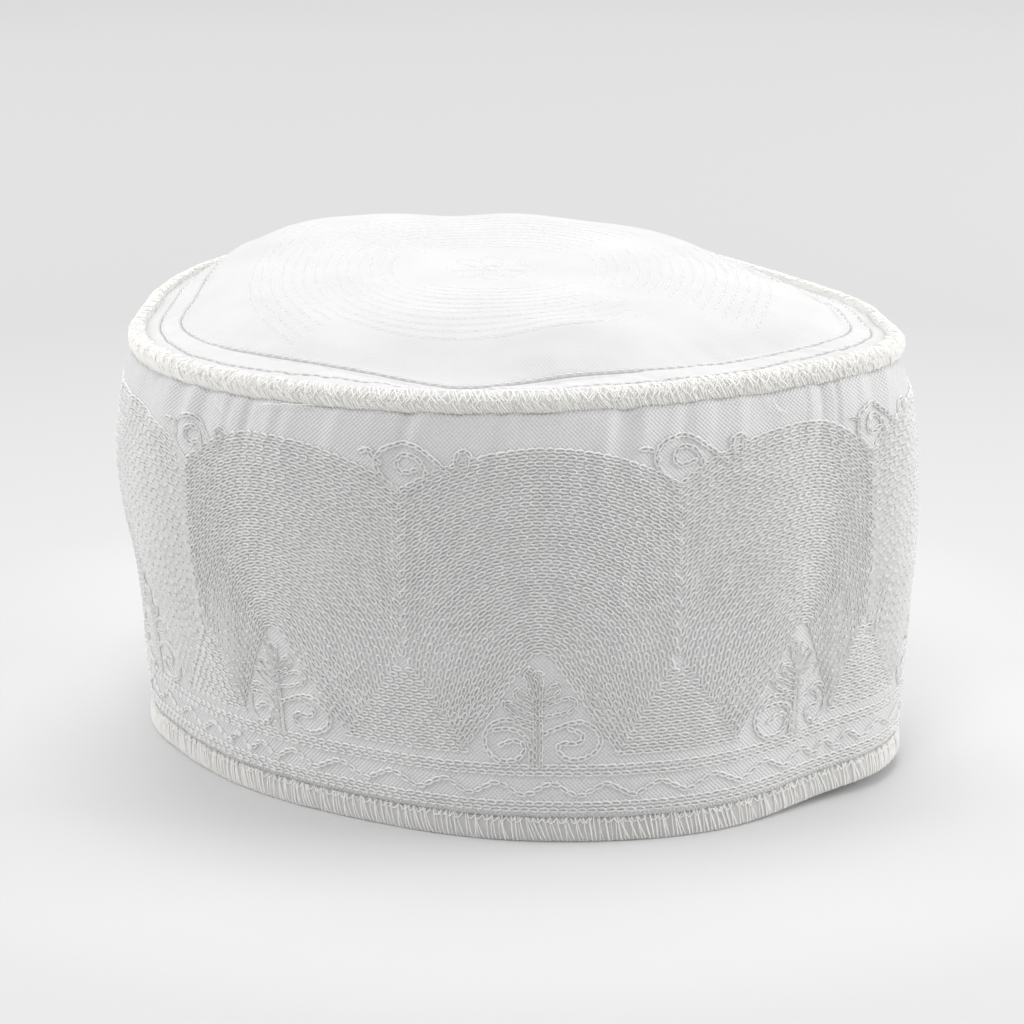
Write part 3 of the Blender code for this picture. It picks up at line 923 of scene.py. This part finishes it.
outer_line = smooth_round(OUTER_LINE, 12)
inner_line = smooth_round(INNER_LINE, 12)
inward = (1 - CROWN_SHARES[:, None]) * crown_edge[None, :]
grooves = np.exp(-((inward - outer_line) / GROOVE_WIDTH) ** 2)
grooves += np.exp(-((inward - inner_line) / GROOVE_WIDTH) ** 2)
crown_turns = turn / math.tau * ARCHES + FIRST_ARCH


def edge_waves(cells, shift):
    """Random waves round the crown that slant by a shift as they run inwards."""
    return random_waves(crown_turns + shift * inward / MM, cells)


strip = smooth_step(inward, 0, 1.5 * MM) * (1 - smooth_step(inward, inner_line - 1 * MM, inner_line))
puckered = EDGE_PUCKER * strip * (edge_waves(170, 0.010) + 0.5 * edge_waves(330, -0.006))
past_line = np.clip(inward - inner_line, 0, None)
fading = np.exp(-past_line / (5 * MM)) * smooth_step(inward, inner_line, inner_line + 2 * MM)
puckered += PANEL_PUCKER * fading * edge_waves(110, 0.004)
crown_heights = crown_heights - GROOVE_DEPTH * grooves + puckered

# seen from the front, the cloth stands up before the far part of the seam: degrees, and
# millimetres of rise
BACK_SWELL = [(-4, 0), (5, 1.5), (15, 4.2), (30, 5.0), (45, 4.2), (60, 2.8), (76, 0.4), (112, 0.0),
              (128, 0.4), (140, 1.3), (154, 1.6), (168, 0)]
back_rise = np.clip(smooth_round(BACK_SWELL, 16), 0, None)
across_swell = smooth_step(inward, 1.0 * MM, 9 * MM) * (1 - smooth_step(inward, 11 * MM, 34 * MM))
crown_heights = crown_heights + back_rise * across_swell

# and it is pressed in behind the bend of the inner line at the front
HOLLOW_DIRECTION = 256
HOLLOW_SPREAD = 24
HOLLOW_INWARD = 17 * MM
HOLLOW_WIDTH = 7 * MM
HOLLOW_DEPTH = 1.5 * MM
past_hollow = (np.degrees(turn) - HOLLOW_DIRECTION) / HOLLOW_SPREAD
hollow = np.exp(-past_hollow ** 2) * np.exp(-((inward - HOLLOW_INWARD) / HOLLOW_WIDTH) ** 2)
crown_heights = crown_heights - HOLLOW_DEPTH * hollow

crown_points = polar(CROWN_SHARES[:, None] * crown_edge, turn, crown_heights)
crown_out = -outward_directions(crown_points)
crown_values = np.concatenate([crown_points, crown_out], axis=2)


def on_crown(line, stand=0.0):
    """A line drawn on the crown's plan, in metres, as a row ready to sew."""
    line = evenly(line)
    column = (np.arctan2(line[:, 1], line[:, 0]) % math.tau) / math.tau * DIRECTIONS
    i = np.floor(column).astype(int) % DIRECTIONS
    k = (i + 1) % DIRECTIONS
    s = column - np.floor(column)
    share = np.hypot(line[:, 0], line[:, 1]) / (crown_edge[i] * (1 - s) + crown_edge[k] * s)
    j = np.clip(np.searchsorted(CROWN_SHARES, share) - 1, 0, len(CROWN_SHARES) - 2)
    t = np.clip((share - CROWN_SHARES[j]) / (CROWN_SHARES[j + 1] - CROWN_SHARES[j]), 0, 1)
    found = between(crown_values, j, t, i, k, s)
    out = unit(found[:, 3:])
    return np.column_stack([line, found[:, 2]]) + out * stand, out, np.ones(len(line))


print("the crown rises to", round(crown_heights.max() / MM, 1), "mm")

# %% The crown's cloth
CROWN_WALL = 1.1 * MM
UNDERSIDE_ROWS = 8

down = np.array([0, 0, 1])
under = crown_points[::len(CROWN_SHARES) // UNDERSIDE_ROWS] - down * CROWN_WALL
rim_ring = polar(crown_edge, turn, crown_heights[-1])
edge_rings = [rim_ring * np.array([0.996, 0.996, 1]) - down * CROWN_WALL,
              rim_ring - down * 0.8 * MM, rim_ring - down * 0.25 * MM]
rings = np.concatenate([under, np.array(edge_rings), crown_points[::-1]])
middle = [0.0, 0.0, crown_heights[0].mean()]
under_middle = [0.0, 0.0, middle[2] - CROWN_WALL]
crown_cloth = ring_shell("crown_cloth", rings, np.zeros(len(rings)), crown_cotton,
                         caps=[under_middle, middle])

# the crown is cut flat, so its cloth map is its plan
crown_mesh = crown_cloth.data
corner_of_loop = np.array([loop.vertex_index for loop in crown_mesh.loops])
plan = np.array([tuple(v.co) for v in crown_mesh.vertices])[:, :2]
crown_mesh.uv_layers["cloth"].data.foreach_set("uv", plan[corner_of_loop].ravel())
# the cloth's distance from each line of topstitching, which places the painted shade along it
for name, line in (("from_outer_line", outer_line), ("from_inner_line", inner_line)):
    away = np.ones((len(rings), DIRECTIONS))
    away[-len(CROWN_SHARES):] = (inward - line)[::-1]
    away = np.append(away.ravel(), [1.0, 1.0])
    crown_mesh.attributes.new(name, "FLOAT", "POINT").data.foreach_set("value", away)
print("crown cloth", len(crown_mesh.polygons), "faces")

# %% [markdown]
# ## Petals on the crown
# Four large petals meet in the crown's middle, one towards each side. Each is filled with
# nested rows of chain stitch, wider apart than on the band, which bow outwards and end on
# the slanting lines between the petals. A small rosette sits where the petals meet.

# %% Petals on the crown
PETALS_MEET = np.array([-6.0, -5.0])
# direction, reach, depth of the rows and half the petal's spread, in degrees and millimetres
PETALS = [(180, 60.0, 36.0, 42.0), (270, 46.5, 28.0, 47.0), (0, 69.0, 44.0, 29.0), (90, 48.0, 28.0, 46.0)]
PETAL_ROW_SPACING = 2.7
PETAL_BOW = 2.4             # 2 would give parts of circles, more gives squarer rows
CROWN_STITCH = 2.6 * MM
ROSETTE = 11.0
ROSETTE_HALF_LEAF = 2.6
ROSETTE_LEAVES = 8
SUNK = -0.02 * MM           # the fine thread beds into the soft cloth


def heading(angle):
    """The unit direction of an angle in plan, and the direction to its left."""
    ahead = np.array([math.cos(angle), math.sin(angle)])
    return ahead, np.array([-ahead[1], ahead[0]])


rows = []
for towards, reach, depth, half_turn in PETALS:
    axis, beside = heading(math.radians(towards))
    steepness = math.tan(math.radians(half_turn))
    for far in np.arange(reach, reach - depth, -PETAL_ROW_SPACING):
        aside = np.linspace(-1, 1, 400) * far * 0.98
        outwards = far * (1 - np.abs(aside / far) ** PETAL_BOW) ** (1 / PETAL_BOW) * 0.9 + far * 0.1
        inside = np.abs(aside) < outwards * steepness - 1.0
        line = PETALS_MEET + outwards[inside, None] * axis + aside[inside, None] * beside
        rows.append(on_crown(line * MM, SUNK))
for leaf in range(ROSETTE_LEAVES):
    along, beside = heading(math.tau * leaf / ROSETTE_LEAVES)
    around = np.linspace(0, math.tau, 60)
    line = PETALS_MEET + (ROSETTE * (0.6 - 0.4 * np.cos(around)))[:, None] * along
    line = line + (ROSETTE_HALF_LEAF * np.sin(around))[:, None] * beside
    rows.append(on_crown(line * MM, SUNK))
crown_link = thread_ring(
    "crown_link",
    [(x * CROWN_STITCH, y * 0.44 * MM, z * 0.1 * MM) for x, y, z in LINK_CORNERS],
    0.15 * MM)
crown_petals = sew("crown_petals", rows, crown_link, embroidery_thread, CROWN_STITCH, seed=11)

# %% Topstitching
TOPSTITCH_SPACING = 2.5 * MM
# a lockstitch: a short bar of thread that dips into the cloth at both ends
TOPSTITCH_CORNERS = [(-0.85 * MM, 0, -0.12 * MM), (-0.4 * MM, 0, 0.1 * MM),
                     (0.4 * MM, 0, 0.1 * MM), (0.85 * MM, 0, -0.12 * MM)]
topstitch = thread_ring("topstitch", TOPSTITCH_CORNERS, 0.34 * MM, sides=4, closed=False)
rows = []
for line in (outer_line, inner_line):
    path = polar(crown_edge - line - 0.5 * MM, turn, 0)[:, :2]
    rows.append(on_crown(np.concatenate([path, path[:1]])))
crown_topstitch = sew("crown_topstitch", rows, topstitch, embroidery_thread, TOPSTITCH_SPACING, seed=3)

# %% [markdown]
# ## The overlocked edges
# An overlock machine trims the cloth's edge and wraps it: one yarn lies in slanting strands
# over the front of the fold, another covers its back. The hem is a fold wrapped with long
# strands, crossed by a few short ones at their upper ends. The rim seam, between band and
# crown, has strands over its lower half, and two layers of them crossing over its upper half.

# %% Folds under the overlocking
# each corner of a fold: millimetres out from the band's outline, and millimetres up
HEM_FOLD = [(0.0, 0.15), (0.35, 0.9), (0.42, 2.8), (0.1, 5.0), (-0.6, 6.1), (-2.2, 5.9), (-2.8, 5.2),
            (-2.8, 0.9), (-2.3, 0.15)]
RIM_FOLD = [(-0.7, -1.0), (-0.1, -0.25), (0.25, 0.5), (0.55, 2.1), (0.35, 3.6), (-0.5, 4.35),
            (-2.5, 4.5), (-3.3, 3.6), (-3.3, 1.0), (-2.8, 0.05), (-1.3, -1.0)]
FOLD_COLUMNS = 900
fold_arch = FIRST_ARCH + np.arange(FOLD_COLUMNS) * ARCHES / FOLD_COLUMNS


def level_outline(up, foot):
    """The band's outline at its foot or its head without gathers, and the directions out of it."""
    edge = look_up(band_points, fold_arch, np.full(FOLD_COLUMNS, up))
    angles = np.arctan2(edge[:, 1], edge[:, 0])
    reach = np.interp(angles, turn, radius[0 if up == 0 else -1], period=math.tau)
    rise = np.interp(angles, turn, lift, period=math.tau) * (1 - up) ** 2
    points = polar(reach, angles, foot + rise)
    along = np.roll(points, -1, axis=0) - np.roll(points, 1, axis=0)
    return points, unit(np.stack([along[:, 1], -along[:, 0], np.zeros(FOLD_COLUMNS)], axis=1))


def uneven(cells, amount):
    """Small swellings along a fold, in millimetres: slow ones and quick ones."""
    slow = random_waves(fold_arch, cells)
    return amount * (slow + 0.6 * random_waves(fold_arch, cells * 3))


# share of the band's height, level of the edging's foot, and how the edging swells
HEM = (0.0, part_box("hem_edge")[0].z, uneven(90, 0.10)[:, None])
RIM = (1.0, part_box("rim_seam")[0].z, uneven(110, 0.16)[:, None])


def fold(name, section, edge):
    """A closed fold of cloth round one edge of the band, a little uneven in height and depth."""
    up, foot, swell = edge
    points, out = level_outline(up, foot)
    top = max(corner[1] for corner in section)
    rings = []
    for outward, height in section:
        ring = points + out * (outward + swell * (outward > 0)) * MM
        rings.append(ring + np.array([0, 0, 1]) * (height + swell * (height / top) * 0.5) * MM)
    ring_up = [(height - outward) * MM for outward, height in section]
    return ring_shell(name, rings, ring_up, overlock_yarn)


hem_fold = fold("hem_fold", HEM_FOLD, HEM)
rim_fold = fold("rim_fold", RIM_FOLD, RIM)
print("folds of", len(hem_fold.data.polygons), "and", len(rim_fold.data.polygons), "faces")

# %% Overlock strands
# each corner of a strand: millimetres along, up and out
HEM_STRAND = [(-0.75, 6.3, 0.05), (-0.6, 5.4, 0.28), (-0.2, 3.6, 0.55), (0.3, 1.6, 0.6), (0.62, 0.5, 0.3),
              (0.7, 0.38, -0.6)]
HEM_CROSSING = [(1.0, 6.2, 0.15), (0.3, 5.3, 0.5), (-0.5, 5.0, 0.5), (-1.2, 6.0, 0.2)]
RIM_LOWER = [(0.85, -0.25, 0.1), (0.4, 0.5, 0.6), (-0.2, 1.5, 0.85), (-0.8, 2.5, 0.75)]
RIM_UPPER = [(-0.8, 2.0, 0.72), (-0.2, 3.2, 0.68), (0.4, 4.1, 0.1), (0.8, 4.6, -1.0), (1.0, 4.6, -2.4)]
RIM_CROSSING = [(-x, y + 0.03, z + 0.03) for x, y, z in RIM_UPPER]


def wrap(name, edge, corners, spacing, thickness, unevenness, seed):
    """Strands laid side by side round one edge of the band; lengths in millimetres."""
    strand = thread_ring(name + "_strand", np.array(corners) * MM, thickness * MM, closed=False)
    up, foot, swell = edge
    points, out = level_outline(up, foot)
    points = points + out * swell * MM
    closed = np.arange(FOLD_COLUMNS + 1) % FOLD_COLUMNS
    row = (points[closed], out[closed], np.ones(FOLD_COLUMNS + 1))
    piece = sew(name, [row], strand, overlock_yarn, spacing * MM, unevenness, seed)
    bpy.data.objects.remove(strand)
    return piece


overlocks = [
    wrap("hem_overlock", HEM, HEM_STRAND, 1.0, 0.40, 0.18, 21),
    wrap("hem_crossing", HEM, HEM_CROSSING, 2.1, 0.34, 0.14, 22),
    wrap("rim_overlock_lower", RIM, RIM_LOWER, 0.78, 0.44, 0.22, 23),
    wrap("rim_overlock_upper", RIM, RIM_UPPER, 0.70, 0.38, 0.3, 24),
    wrap("rim_overlock_crossing", RIM, RIM_CROSSING, 0.75, 0.36, 0.3, 25),
]

# %% [markdown]
# ## Loose ends
# Three ends of thread were never snipped off. They curl away from the rim seam at the front,
# thin as hairs, and catch the light.

# %% Loose ends
LOOSE_THICKNESS = 0.22 * MM
# from its root to its tip: the arch each end lies at, its millimetres up the band, and how
# many it stands off the cloth
LOOSE_ENDS = [
    [(-1.02, 98.2, 1.0), (-0.96, 98.9, 1.6), (-0.89, 99.3, 1.4), (-0.80, 99.9, 1.3)],
    [(-1.30, 99.0, 1.4), (-1.29, 97.5, 2.2), (-1.26, 96.0, 1.6), (-1.25, 95.0, 1.2)],
    [(0.86, 99.0, 1.4), (0.87, 97.0, 1.8), (0.89, 95.5, 1.4), (0.92, 94.5, 1.0)],
]
loose_pieces = []
for number, end in enumerate(LOOSE_ENDS):
    drawn = smooth_line([(arch * ARCH_WIDTH / MM, height) for arch, height, _ in end], steps=6)
    stands = smooth_line([(stand, 0) for _, _, stand in end], steps=6)[:, 0]
    arches = drawn[:, 0] / ARCH_WIDTH
    ups = drawn[:, 1] / BAND_HEIGHT
    path = look_up(band_points, arches, ups) + look_up(band_out, arches, ups) * stands[:, None]
    piece = thread_ring("loose_end_%d" % number, path, LOOSE_THICKNESS, sides=4, closed=False)
    piece.data.materials.append(embroidery_thread)
    loose_pieces.append(piece)
print(len(loose_pieces), "loose ends")

# %% [markdown]
# ## Stage
# A white table under pale grey paper runs on past the camera's view. Large soft lamps stand
# overhead and to both sides, a smaller one lights the front, and a pale surrounding fills
# the shadows. The paper's tone is graded with the distance from the cap: painted light and
# shade for how the lamps' light falls across it.

# %% Stage
TABLE_HALF = 6.0
# metres from the middle, and the paper's tone there, graded with painted light and shade
PAPER_TONES_AND_PAINTED_FALLOFF = [(0.13, "#D4D4D4"), (0.20, "#C8C8C8"), (0.42, "#C1C1C1"), (0.85, "#D5D5D5")]
# name, place, the point it faces, width and power
LAMPS = [
    ("overhead_lamp", (0.0, 0.30, 1.1), (0, 0.0, 0.0), 0.8, 6.2),
    ("front_lamp", (-0.15, -0.75, 1.2), (0, 0.0, 0.05), 0.35, 3.3),
    ("left_lamp", (-1.2, 0.0, 0.45), (0, 0, 0.06), 0.8, 6.9),
    ("right_lamp", (1.2, 0.0, 0.45), (0, 0, 0.06), 0.8, 9.7),
]
ROOM_TONE = "#F5F5F7"
ROOM_STRENGTH = 0.69

table_corners = [(x * TABLE_HALF, y * TABLE_HALF, 0) for x, y in ((-1, -1), (1, -1), (1, 1), (-1, 1))]
table_mesh = bpy.data.meshes.new("white_table")
table_mesh.from_pydata(table_corners, [], [(0, 1, 2, 3)])
white_table = into_scene("white_table", table_mesh)
# matt paper gives the pale ground and takes the cap's soft shadow; painted light and shade grade its tone
paper, paper_tree = new_material("pale_grey_paper")
paper_place = add(paper_tree, "ShaderNodeTexCoord").outputs["Object"]
paper_reach = add(paper_tree, "ShaderNodeVectorMath", {0: paper_place}, operation="LENGTH")
# painted light and shade: the paper's tone is graded by its distance from the middle
tone_and_painted_falloff = add(paper_tree, "ShaderNodeValToRGB", {"Fac": paper_reach.outputs["Value"]})
stops = tone_and_painted_falloff.color_ramp.elements
while len(stops) < len(PAPER_TONES_AND_PAINTED_FALLOFF):
    stops.new(0.5)
for stop, (metres, tone) in zip(stops, PAPER_TONES_AND_PAINTED_FALLOFF):
    stop.position = metres
    stop.color = linear(tone)
matt = add(paper_tree, "ShaderNodeBsdfPrincipled", {"Base Color": tone_and_painted_falloff.outputs["Color"],
                                                    "Roughness": 0.8})
add(paper_tree, "ShaderNodeOutputMaterial", {"Surface": matt.outputs["BSDF"]})
table_mesh.materials.append(paper)

for name, place, towards, size, power in LAMPS:
    light = bpy.data.lights.new(name, "AREA")
    light.size = size
    light.energy = power
    lamp = into_scene(name, light)
    lamp.location = place
    lamp.rotation_euler = (Vector(towards) - Vector(place)).to_track_quat("-Z", "Y").to_euler()
room = bpy.data.worlds.new("pale_room")
room.use_nodes = True
room.node_tree.nodes["Background"].inputs["Color"].default_value = linear(ROOM_TONE)
room.node_tree.nodes["Background"].inputs["Strength"].default_value = ROOM_STRENGTH
bpy.context.scene.world = room
bpy.context.scene.view_settings.view_transform = "Standard"
print(len(LAMPS), "lamps round the table")

# %% Pieces in place of the solids
for piece, node, slot in ((band_cloth, "side_band", "cotton_cloth"),
                          (crown_cloth, "crown_top", "cotton_cloth"),
                          (hem_fold, "hem_edge", "overlock_thread"),
                          (rim_fold, "rim_seam", "overlock_thread")):
    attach(piece, "root")
    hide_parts(node)
for piece in arch_pieces + loose_pieces + [border_stitches, sprig_stitches, crown_petals, crown_topstitch]:
    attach(piece, "root")
for piece in overlocks:
    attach(piece, "root")
for helper in (chain_link, crown_link, topstitch):
    bpy.data.objects.remove(helper)
